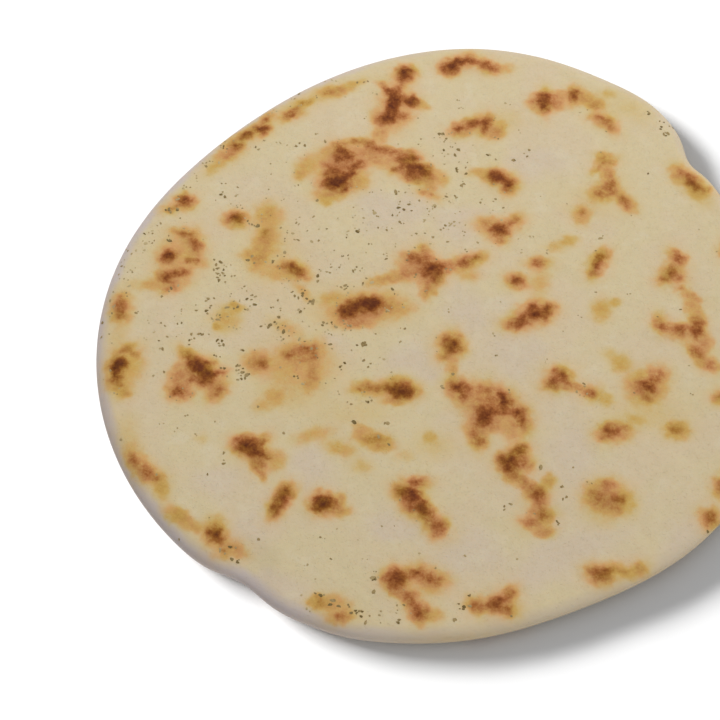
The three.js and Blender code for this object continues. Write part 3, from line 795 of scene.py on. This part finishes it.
# Values from which and up to which each tone comes in: of a soft noise, of the floured patches,
# of the grain's shade, of x in metres, and of the browning's level or hue.
PINKISH_NOISE = (0.42, 0.62)
FLOURED_COVER = (0.15, 0.9)
FLOUR_NOISE = (0.5, 0.72)
GRAIN_SHADES = (0.35, 0.6)
BEIGE_ACROSS = (-60 * MM, 10 * MM)
BROWNED_LEVELS = (0.0, 0.16)
RAGGED_LEVELS = (0.0, 0.6)
BLOOM_NOISE = (0.52, 0.68)
BLOOM_LEVELS = (0.5, 0.8)
SMOOTHER_LEVELS = (0.3, 0.9)
PEACH_HUES = (-0.6, 0.7)     # mustard below them, peach above

# How much each covers at most.
FLOUR_AT_MOST = 0.5
GRAIN_AT_MOST = 0.16
RIM_AT_MOST = 0.9
BLOOM_AT_MOST = 0.25

# How strongly the noise of each size moves the browning's level, and the larger one its hue.
KNOTTED = 0.8
CRUMBLED = 0.42
KNOTTED_HUE = 1.2

FLOURY_ROUGHNESS = 0.86
BURNT_ROUGHNESS = 0.66
SKIN_RELIEF = 0.09       # mm
BLISTER_RELIEF = 0.25    # mm for each level


def griddled_dough_material():
    """Pale dough, mottled and floury, that browns through gold to nearly burnt with the level."""
    material, tree, shader = new_material("griddled_dough", {
        "Specular IOR Level": 0.12, "Subsurface Weight": 0.1,
        "Subsurface Radius": (1.0, 0.55, 0.25), "Subsurface Scale": 2.5 * MM})
    places = add(tree, "ShaderNodeTexCoord").outputs["Object"]
    shade, grain_height = dry_grain(tree, grain_size=0.7, relief=0.05)

    # Plain dough: cream, with broad pinkish patches, floured patches and flour in the grain.
    pinkness = between(tree, cloud(tree, places, size=26), *PINKISH_NOISE)
    dough_colour = layered(tree, pinkness, paint(CREAM), paint(PINKISH_CREAM))
    patchiness = sums(tree, "SUBTRACT", cloud(tree, places, size=12), 0.5)
    floured = between(tree, sums(tree, "ADD", stored(tree, "pale"), patchiness), *FLOURED_COVER)
    dough_colour = layered(tree, floured, dough_colour, paint(FLOURED_CREAM))
    flour_noise = cloud(tree, places, size=9, detail=4.0, roughness=0.6)
    flouriness = between(tree, flour_noise, *FLOUR_NOISE, to_high=FLOUR_AT_MOST)
    dough_colour = layered(tree, flouriness, dough_colour, paint(DRY_FLOUR))
    grain_cover = between(tree, shade, *GRAIN_SHADES, to_low=GRAIN_AT_MOST, to_high=0.0)
    dough_colour = layered(tree, grain_cover, dough_colour, paint(DARK_GRAIN))

    # The rim never touched the griddle: greyer and dusty, pinkish at the left, beige at the right; the
    # left's lilac-grey is partly a painted highlight.
    across = add(tree, "ShaderNodeSeparateXYZ", {0: places}).outputs["X"]
    beige = between(tree, across, *BEIGE_ACROSS)
    rim_colour_and_highlight = layered(tree, beige, paint(LEFT_RIM_WITH_HIGHLIGHT), paint(RIGHT_RIM))
    edge = sums(tree, "MULTIPLY", stored(tree, "edge"), RIM_AT_MOST)
    dough_colour = layered(tree, edge, dough_colour, rim_colour_and_highlight)

    # The level, broken up so that spots have ragged edges and darker knots.
    level = stored(tree, "level")
    knots = sums(tree, "SUBTRACT", cloud(tree, places, size=2.4, detail=3.0, roughness=0.6), 0.5)
    crumbs = sums(tree, "SUBTRACT", cloud(tree, places, size=0.8, roughness=0.6), 0.5)
    knotted = sums(tree, "MULTIPLY", knots, KNOTTED)
    crumbled = sums(tree, "MULTIPLY", crumbs, CRUMBLED)
    ragged = sums(tree, "ADD", knotted, crumbled)
    ragged = sums(tree, "MULTIPLY", ragged, between(tree, level, *RAGGED_LEVELS))
    browned = sums(tree, "ADD", level, ragged)

    # Browned dough: peach or mustard by its tint, with a redder bloom where it is darkest.
    peach = graded(tree, browned, PEACH_BROWNING)
    mustard = graded(tree, browned, MUSTARD_BROWNING)
    hue = sums(tree, "ADD", stored(tree, "tint"), sums(tree, "MULTIPLY", knots, KNOTTED_HUE))
    baked = layered(tree, between(tree, hue, *PEACH_HUES), mustard, peach)
    bloom = between(tree, cloud(tree, places, size=3.6), *BLOOM_NOISE, to_high=BLOOM_AT_MOST)
    bloom = sums(tree, "MULTIPLY", bloom, between(tree, browned, *BLOOM_LEVELS))
    baked = layered(tree, bloom, baked, paint(BURNT_BLOOM))
    colour = layered(tree, between(tree, browned, *BROWNED_LEVELS), dough_colour, baked)
    tree.links.new(colour, shader.inputs["Base Color"])
    roughness = between(tree, browned, *SMOOTHER_LEVELS, FLOURY_ROUGHNESS, BURNT_ROUGHNESS)
    tree.links.new(roughness, shader.inputs["Roughness"])

    skin_noise = cloud(tree, places, size=2.2, detail=4.0, roughness=0.6)
    skin = sums(tree, "MULTIPLY", skin_noise, SKIN_RELIEF * MM)
    blistered = sums(tree, "MULTIPLY", ragged, BLISTER_RELIEF * MM)
    bumped(tree, shader, sums(tree, "ADD", sums(tree, "ADD", grain_height, skin), blistered))
    return material


dough.data.materials.append(griddled_dough_material())
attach(dough, "root")
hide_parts("piadina")


# ==== The charred flour ===================================================================
# Flour from the rolling board burns on the griddle and sticks to the bread as hundreds of thin
# olive-grey flakes, half a millimetre to a millimetre and a half across. Where a pinch of flour
# fell they lie in tight clumps, and a dusting of finer and paler ones lies between.

# The dusting: middle, reach along x and y, and how many.
FLAKE_DRIFTS = [
    (-70, 8, 24, 24, 60), (-52, -8, 16, 14, 30), (-20, 50, 28, 15, 76), (-28, 22, 18, 14, 30),
    (5, 70, 26, 16, 24), (-85, -30, 14, 20, 14), (0, -20, 60, 60, 34), (-34, -88, 30, 16, 20),
    (60, 30, 30, 50, 22), (-80, 45, 9, 9, 10), (-60, 45, 9, 9, 10), (3, 70, 7, 8, 16), (3, 45, 9, 8, 24),
    (-30, -7, 15, 9, 30), (-22, -105, 14, 6, 10),
]
# Clumps: middle, reach and how many.
FLAKE_CLUMPS = [
    # along the far edge
    (-51.4, 75.6, 1.6, 3), (-46.5, 78, 2, 2), (-67.4, 73.5, 0.7, 2), (-77, 75.2, 1, 4), (-86, 66, 1.6, 3),
    (2.2, 80.6, 1, 4), (2.2, 76, 0.8, 3), (5, 71.6, 1.2, 5), (6.6, 63, 0.6, 4), (8.6, 56, 0.8, 3),
    (11, 61.5, 0.8, 2), (17, 70, 0.6, 1), (32.5, 70.8, 1.4, 2), (84.2, 84, 1.1, 5), (84.8, 79, 1, 4),
    (79.6, 89, 0.8, 3), (88, 82, 1, 1), (76, 61.5, 0.4, 1), (28, 68, 1, 2), (-29, 104, 2, 3),
    # middle
    (-66, 38.4, 0.9, 4), (-15.5, 52, 0.8, 4), (-11.4, 45, 1.4, 4), (-17, 42.5, 0.5, 1),
    (-14.5, 40, 0.5, 1), (-22.4, 41.4, 0.6, 2), (-29.4, 35.4, 0.5, 2), (-33.6, 33.6, 0.8, 2),
    (-41, 37.4, 0.4, 1), (-55.2, 31.4, 0.8, 2), (-33.6, 24, 1.1, 4), (-30.4, 18.9, 0.9, 4),
    (-26.2, 14.6, 0.9, 3), (-34.2, 12.4, 1.1, 4), (-40, 18.4, 0.7, 2), (-44, 15.4, 1.2, 3),
    (-17.6, 11.4, 0.4, 1), (-48.6, 9.4, 1.8, 9), (-44.6, 5.6, 1, 3), (-57, 6.6, 0.5, 1),
    (-59.4, 4, 0.5, 2), (-49.8, 2, 0.7, 5), (-59.4, -3.3, 1, 4), (-56.6, -0.4, 0.4, 1),
    (-53, -6.6, 1.2, 4), (-49.6, -9, 0.5, 1), (-44.2, -14, 1.2, 8), (-39.8, -3.6, 1.2, 6),
    (-34, -4.2, 1, 3), (-27.2, -11.6, 0.8, 5), (-38, -11.6, 0.6, 2), (-49.8, -24.8, 0.9, 3),
    (-35, -18.6, 0.6, 2), (-35, -21.2, 0.5, 2), (-25, -19.8, 0.7, 3), (-32.6, -34.4, 0.5, 2),
    (-28, -30.6, 1, 2), (-26, -34.5, 0.5, 2), (-30.4, -41.8, 0.4, 2), (-19.9, -42, 0.4, 2),
    (-19, -50.4, 0.4, 1), (-23, -48, 0.6, 1),
    # left
    (-79, 21, 1.2, 5), (-78.2, 17.8, 1.5, 10), (-76, 16.4, 1.4, 6), (-81.4, 7.5, 1.1, 4),
    (-82, 0.5, 1.1, 3), (-80.4, 3.8, 0.5, 3), (-72.4, 3.6, 0.9, 4), (-77.6, -0.2, 1, 3),
    (-65.4, 7.4, 1.5, 6), (-66.5, 4.4, 0.4, 2), (-94, -5.6, 1.3, 4), (-91, -3, 0.8, 2),
    (-87, -9.8, 1.2, 5), (-83, -7.6, 0.6, 3), (-76.8, -10.8, 0.7, 5), (-97.5, -10.6, 0.4, 1),
    (-77.4, -15.8, 0.9, 3), (-70.4, -20.6, 1, 5), (-68, -22.6, 1, 6), (-69, -25.4, 0.8, 4),
    (-75.4, -21, 0.7, 2), (-69, -14, 0.5, 2), (-79.2, 52, 0.9, 4), (-95.4, 45.4, 1.4, 3),
    (-98, 44.4, 0.8, 3), (-102, 33.4, 1.8, 5), (-96, 31.6, 0.6, 3), (-95, 10.4, 0.9, 4),
    (-98, 7.4, 0.5, 2), (-66, 24, 2.2, 5),
    # near side
    (-74, -53.6, 0.5, 2), (-73.2, -56.8, 0.5, 2), (-79, -61.2, 0.4, 1), (-93, -79, 0.5, 2),
    (-86.6, -84.4, 0.5, 1), (-72.2, -89, 0.6, 3), (-69.3, -87, 0.6, 2), (-67.5, -91.6, 0.7, 4),
    (-42, -103.2, 1.3, 3), (-36.4, -107, 1.4, 4), (-32.2, -108.6, 0.8, 4), (-28, -110, 1, 4),
    (-26.2, -112, 0.5, 2), (-23.6, -103, 0.6, 2), (-25.4, -98.4, 1, 3), (-17.4, -113.4, 0.9, 2),
    (1, -112, 0.5, 2), (3.6, -107.4, 1.2, 5), (6.8, -104, 0.5, 2), (19.6, -72.2, 1, 4),
    (37.4, -69.8, 0.5, 2), (38.2, -64.8, 0.5, 2), (30.6, -58.8, 0.5, 2), (36, -77.6, 0.7, 3),
    (-0.4, -28, 0.5, 2), (3, -23, 0.4, 2), (18, -16.4, 0.4, 2), (84.4, -82, 0.4, 2),
]
RIM_FLAKES = 60
FLAKED_RIM = (110, 205)          # from the far left round to the near left
FLAKED_RIM_OUT = (0.93, 0.992)   # shares of the outline's radius
FLAKE_PAIRS = 0.35       # share of the dusting that has another flake beside it
PAIR_APART = (0.7, 1.7)  # mm
FLAKED_ROUNDING = 0.85   # share of the rim's rounding that can carry flakes
CLEAN_LEVEL = 0.42       # places browned more than this carry no flour

FLAKE_SIDES = 7
FLAKE_THICKNESS = 0.07   # mm from the outline to the middle point
FLAKE_CLEARANCE = 0.03   # mm that the outline lies above the dough
FINE_FLAKE = 0.33        # mm, half the usual size across
CLUMP_FLAKE = 0.44
FLAKE_SIZE_SPREAD = 0.25
FLAKE_STRETCH = (1, 1.7)
FLAKE_REACH = (0.55, 1.15)       # of a corner, in shares of the flake's size
CHAR = (0, 0.65)
CLUMP_CHAR = 0.3         # that flakes in a clump are darker by


def flake_middles(draw):
    """x and y of every flake and whether it is in a clump: normal draws round each drift and
    clump, and even ones along the left rim."""
    x, y = [], []
    for middle_x, middle_y, reach_x, reach_y, count in FLAKE_DRIFTS:
        x.append(draw.normal(middle_x, reach_x, count))
        y.append(draw.normal(middle_y, reach_y, count))
    angle = draw.uniform(*FLAKED_RIM, RIM_FLAKES)
    radius = (shoulder_radius(angle) + RIM_ROUNDING) * draw.uniform(*FLAKED_RIM_OUT, RIM_FLAKES)
    rim_x, rim_y = around_middle(angle, radius)
    x, y = np.concatenate([*x, rim_x]), np.concatenate([*y, rim_y])
    paired = draw.random(len(x)) < FLAKE_PAIRS
    beside = draw.uniform(0, 2 * np.pi, paired.sum())
    apart = draw.uniform(*PAIR_APART, paired.sum())
    x = np.concatenate([x, x[paired] + apart * np.cos(beside)])
    y = np.concatenate([y, y[paired] + apart * np.sin(beside)])
    dusted = len(x)
    for middle_x, middle_y, reach, count in FLAKE_CLUMPS:
        x = np.append(x, draw.normal(middle_x, reach, count))
        y = np.append(y, draw.normal(middle_y, reach, count))
    clumped = np.arange(len(x)) >= dusted
    on_bread = np.hypot(x, y) < shoulder_radius(bearing(x, y)) + FLAKED_ROUNDING * RIM_ROUNDING
    level, _ = top_browning(x, y)
    kept = on_bread & (level < CLEAN_LEVEL)
    return x[kept], y[kept], clumped[kept]


def height_on_top(x, y):
    """The bread's height at a place seen from above, on the top or on the rim's upper half."""
    outwards = np.clip((np.hypot(x, y) - shoulder_radius(bearing(x, y))) / RIM_ROUNDING, 0, 1)
    level, _ = top_browning(x, y)
    return surface_height(x, y, np.sqrt(1 - outwards ** 2), level)


def charred_flour(seed):
    """All flakes in one mesh. A flake is a ragged seven-sided outline that follows the bread,
    with a middle point above it and one inside the dough below it."""
    draw = np.random.default_rng(seed)
    middle_x, middle_y, clumped = flake_middles(draw)
    count = len(middle_x)
    size = np.where(clumped, CLUMP_FLAKE, FINE_FLAKE) * np.exp(draw.normal(0, FLAKE_SIZE_SPREAD, count))
    stretch = draw.uniform(*FLAKE_STRETCH, count)
    turn = draw.uniform(0, np.pi, count)
    around = 2 * np.pi * np.arange(FLAKE_SIDES) / FLAKE_SIDES
    reach = size[:, None] * draw.uniform(*FLAKE_REACH, (count, FLAKE_SIDES))
    along = reach * np.cos(around) * stretch[:, None]
    across = reach * np.sin(around)
    x = middle_x[:, None] + along * np.cos(turn)[:, None] - across * np.sin(turn)[:, None]
    y = middle_y[:, None] + along * np.sin(turn)[:, None] + across * np.cos(turn)[:, None]
    x = np.column_stack([x, middle_x, middle_x])
    y = np.column_stack([y, middle_y, middle_y])
    lift = np.zeros(FLAKE_SIDES + 2)
    lift[-2:] = FLAKE_THICKNESS, -FLAKE_THICKNESS
    z = height_on_top(x.ravel(), y.ravel()).reshape(x.shape) + FLAKE_CLEARANCE + lift

    side = np.arange(FLAKE_SIDES)
    after = (side + 1) % FLAKE_SIDES
    above = np.stack([side, after, np.full_like(side, FLAKE_SIDES)], 1)
    below = np.stack([after, side, np.full_like(side, FLAKE_SIDES + 1)], 1)
    one = np.concatenate([above, below])
    starts = (FLAKE_SIDES + 2) * np.arange(count)
    triangles = (starts[:, None, None] + one).reshape(-1, 3)
    piece = closed_piece("charred_flour", x.ravel(), y.ravel(), z.ravel(), triangles)
    char = draw.uniform(*CHAR, count) + CLUMP_CHAR * clumped
    store(piece, "char", np.repeat(char, FLAKE_SIDES + 2))
    piece.data.polygons.foreach_set("use_smooth", np.zeros(len(piece.data.polygons), dtype=bool))
    return piece


CHARRING = [(0.0, (184, 165, 123)), (0.5, (152, 131, 88)), (1.0, (104, 86, 48))]


def charred_flour_material():
    """Olive-grey char: each flake has its own darkness, and grain breaks it up."""
    material, tree, shader = new_material("charred_flour", {"Roughness": 0.9, "Specular IOR Level": 0.2})
    shade, grain_height = dry_grain(tree, grain_size=0.3, relief=0.03)
    darkness = sums(tree, "ADD", stored(tree, "char"), sums(tree, "SUBTRACT", shade, 0.5))
    tree.links.new(graded(tree, darkness, CHARRING), shader.inputs["Base Color"])
    bumped(tree, shader, grain_height)
    return material


flour = charred_flour(seed=8)
flour.data.materials.append(charred_flour_material())
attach(flour, "root")


# ==== The table and the light =============================================================
# A plain white table in a white surrounding. A soft lamp above the far side and a weak one low
# at the near right light the bread, and a wide one low at the far left lights the table and
# casts the bread's shadow on it.

TABLE_SIZE = 12.0        # m
TABLE_WHITE = (0.9, 0.9, 0.9, 1)
SURROUNDING = 0.40       # brightness of the white all round


def make_table():
    """A flat square table top at the bread's lowest height."""
    half = TABLE_SIZE / 2
    corners = [(-half, -half, 0), (half, -half, 0), (half, half, 0), (-half, half, 0)]
    mesh = bpy.data.meshes.new("table_top")
    mesh.from_pydata(corners, [], [(0, 1, 2, 3)])
    material, _, _ = new_material("white_table", {
        "Base Color": TABLE_WHITE, "Roughness": 0.9, "Specular IOR Level": 0.0})
    mesh.materials.append(material)
    return placed("table_top", mesh)


def direction(heading, elevation):
    """Unit vector towards a heading, anticlockwise from +x, and an elevation, in degrees."""
    flat = math.cos(math.radians(elevation))
    return Vector((flat * math.cos(math.radians(heading)), flat * math.sin(math.radians(heading)),
                   math.sin(math.radians(elevation))))


def soft_lamp(name, heading, elevation, distance, width, height, watts, lit):
    """A flat lamp that faces the middle of the bread and lights only the given objects."""
    light = bpy.data.lights.new(name, "AREA")
    light.shape = "RECTANGLE"
    light.size = width
    light.size_y = height
    light.energy = watts
    lamp = placed(name, light)
    lamp.location = direction(heading, elevation) * distance
    lamp.rotation_euler = lamp.location.to_track_quat("Z", "Y").to_euler()
    receivers = bpy.data.collections.new(name + "_lights")
    for thing in lit:
        receivers.objects.link(thing)
    lamp.light_linking.receiver_collection = receivers


def make_surrounding():
    """White all round: as bright as the table where the camera looks at it, dimmer as light."""
    world = bpy.data.worlds.new("white_surrounding")
    world.use_nodes = True
    tree = world.node_tree
    background = tree.nodes["Background"]
    looked_at = add(tree, "ShaderNodeLightPath").outputs["Is Camera Ray"]
    brightness = between(tree, looked_at, 0.0, 1.0, SURROUNDING, 1.0)
    tree.links.new(brightness, background.inputs["Strength"])
    background.inputs["Color"].default_value = (1, 1, 1, 1)
    bpy.context.scene.world = world


table = make_table()
soft_lamp("bread_lamp", heading=95, elevation=56, distance=1.0, width=0.6, height=0.6, watts=7.4,
          lit=[dough, flour])
soft_lamp("fill_lamp", heading=-22, elevation=26, distance=2.2, width=1.4, height=1.4, watts=18.5,
          lit=[dough, flour])
soft_lamp("table_lamp", heading=150, elevation=20, distance=12, width=6, height=2.2, watts=3490,
          lit=[table])
make_surrounding()
bpy.context.scene.view_settings.view_transform = "Standard"


# ==== The camera ==========================================================================
# It looks down on the bread at 60 degrees from the near side, close enough that the bread's
# right edge runs past the frame.

CAMERA_ELEVATION = 60
CAMERA_LENS = 85
CAMERA_DISTANCE = 589.5 * MM
CAMERA_AIM = Vector((-27.9 * MM, -15.3 * MM, 0))
SENSOR_WIDTH = 36

view = bpy.data.cameras.new("viewer")
view.lens = CAMERA_LENS
view.sensor_width = SENSOR_WIDTH
camera = placed("viewer", view)
camera.location = CAMERA_AIM + direction(-90, CAMERA_ELEVATION) * CAMERA_DISTANCE
camera.rotation_euler = (math.radians(90 - CAMERA_ELEVATION), 0, 0)
bpy.context.scene.camera = camera
